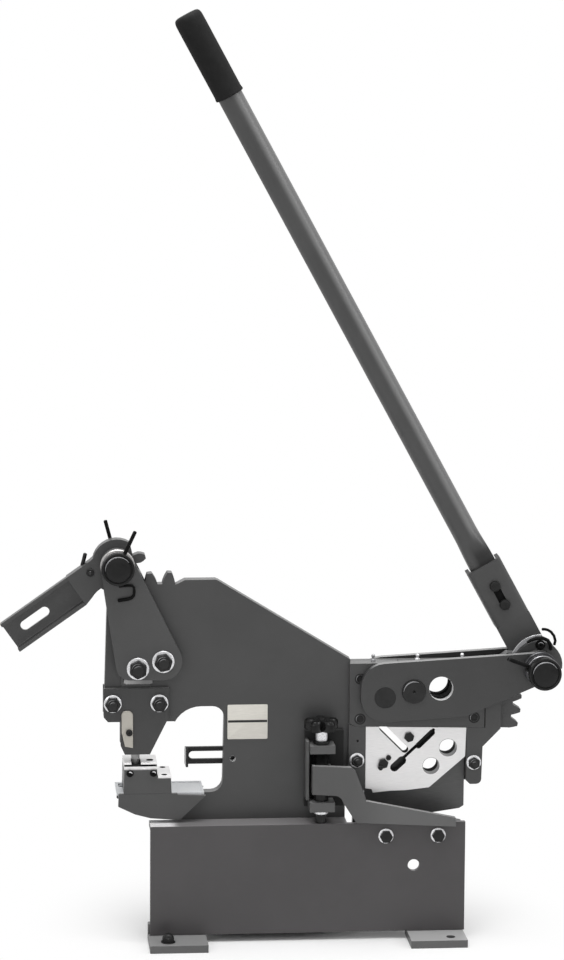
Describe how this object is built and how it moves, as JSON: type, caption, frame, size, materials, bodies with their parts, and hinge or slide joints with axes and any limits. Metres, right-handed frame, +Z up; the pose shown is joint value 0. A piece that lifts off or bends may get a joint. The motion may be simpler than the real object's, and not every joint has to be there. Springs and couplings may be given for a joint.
{
  "type": "manual punch shear",
  "caption": "Hand-lever plate shear and punch on an upright steel frame, with section blades, a hold-down clamp, a back gauge and a base with feet.",
  "frame": {"origin": "on the floor, below the middle of the base, in the middle plane of the frame plate", "axes": "+X to the operator's right, towards the shear; +Y away from the operator; +Z up"},
  "size_m": [0.9473, 0.21, 1.5582],
  "materials": {
    "frame_paint": "semi-gloss dark grey paint",
    "ground_steel": "ground",
    "zinc": "zinc plated",
    "black_steel": "black oxide",
    "tool_steel": "hardened, dark",
    "pale_paint": "pale beige",
    "grip": "matt black",
    "knob": "moulded black",
    "marking_plate": "blank, anodised"
  },
  "bodies": {
    "frame": {"frame_plate": "frame_paint", "base_plate": "frame_paint", "left_foot": "frame_paint", "right_foot": "frame_paint", "rear_foot": "frame_paint", "base_screws": "zinc", "punch_guide_front": "frame_paint", "punch_guide_rear": "frame_paint", "punch_guide_bolts": "zinc", "punch_finger": "pale_paint", "stripper": "ground_steel", "die": "ground_steel", "die_holder": "frame_paint", "die_table": "ground_steel", "jaw_cheek_front": "frame_paint", "jaw_cheek_rear": "frame_paint", "jaw_screws": "black_steel", "pivot_plate_front": "frame_paint", "left_strip_front": "frame_paint", "right_guide_front": "frame_paint", "gear_segment": "frame_paint", "housing_rear": "frame_paint", "housing_screws": "black_steel", "section_blade": "ground_steel", "blade_screws": "black_steel", "lower_blade": "tool_steel", "blade_block": "frame_paint", "shear_pivot_pin": "black_steel", "punch_pivot_bolt": "zinc", "oilers": "zinc", "clamp_bracket": "frame_paint", "name_plate": "marking_plate", "gauge_screw": "black_steel", "top_bar": "frame_paint", "step_plate": "ground_steel"},
    "shear_arms": {"shear_arm_front": "frame_paint", "shear_arm_rear": "frame_paint", "drive_pin": "black_steel", "lever_pin": "black_steel"},
    "hand_lever": {"lever_hub": "frame_paint", "lever_socket": "frame_paint", "lever_tube": "frame_paint", "lever_grip": "grip", "socket_bolts": "black_steel"},
    "blade_carriage": {"blade_carrier": "tool_steel", "upper_blade": "tool_steel"},
    "punch_cheeks": {"punch_cheek_front": "frame_paint", "punch_cheek_rear": "frame_paint", "link_bolt": "zinc", "punch_hub_pin": "black_steel", "link_strip": "ground_steel"},
    "punch_handle": {"punch_hub": "frame_paint", "punch_socket": "frame_paint"},
    "punch_ram": {"ram": "tool_steel", "punch": "tool_steel"},
    "hold_down": {"clamp_arm": "frame_paint"},
    "hold_down_spindle": {"clamp_spindle": "black_steel", "clamp_knob": "knob"},
    "back_gauge": {"gauge_bar": "black_steel"}
  },
  "joints": [
    {"name": "arm_swing", "type": "hinge", "parent": "frame", "child": "shear_arms", "pos_m": [0.13, 0, 0.409], "axis": [0, 1, 0], "range_deg": [0, 17]},
    {"name": "lever_swing", "type": "hinge", "parent": "shear_arms", "child": "hand_lever", "pos_m": [0.39204, 0, 0.45615], "axis": [0, 1, 0], "range_deg": [0, 103.6]},
    {"name": "carriage_slide", "type": "slide", "parent": "frame", "child": "blade_carriage", "axis": [0, 0, -1], "range_m": [0, 0.0148]},
    {"name": "cheek_swing", "type": "hinge", "parent": "frame", "child": "punch_cheeks", "pos_m": [-0.243, 0, 0.476], "axis": [0, 1, 0], "range_deg": [0, 24.1]},
    {"name": "handle_swing", "type": "hinge", "parent": "punch_cheeks", "child": "punch_handle", "pos_m": [-0.31938, 0, 0.63831], "axis": [0, 1, 0], "range_deg": [0, 81]},
    {"name": "ram_slide", "type": "slide", "parent": "frame", "child": "punch_ram", "axis": [0, 0, 1], "range_m": [0, 0.0182]},
    {"name": "spindle_turn", "type": "hinge", "parent": "frame", "child": "hold_down_spindle", "pos_m": [0.022, -0.04, 0.28], "axis": [0, 0, 1], "range_deg": [-1990, 425]},
    {"name": "hold_down_slide", "type": "slide", "parent": "frame", "child": "hold_down", "axis": [0, 0, 1], "range_m": [-0.0035, 0.0165]},
    {"name": "gauge_slide", "type": "slide", "parent": "frame", "child": "back_gauge", "axis": [1, 0, 0], "range_m": [-0.02, 0.05]}
  ],
  "couplings": [
    {"joint": "arm_swing", "follows": "lever_swing", "ratio": 0.16393},
    {"joint": "carriage_slide", "follows": "lever_swing", "m_per_rad": 0.0080656},
    {"joint": "cheek_swing", "follows": "handle_swing", "ratio": 0.2963},
    {"joint": "ram_slide", "follows": "handle_swing", "m_per_rad": 0.01277},
    {"joint": "spindle_turn", "follows": "hold_down_slide", "rad_per_m": -2094.4}
  ]
}
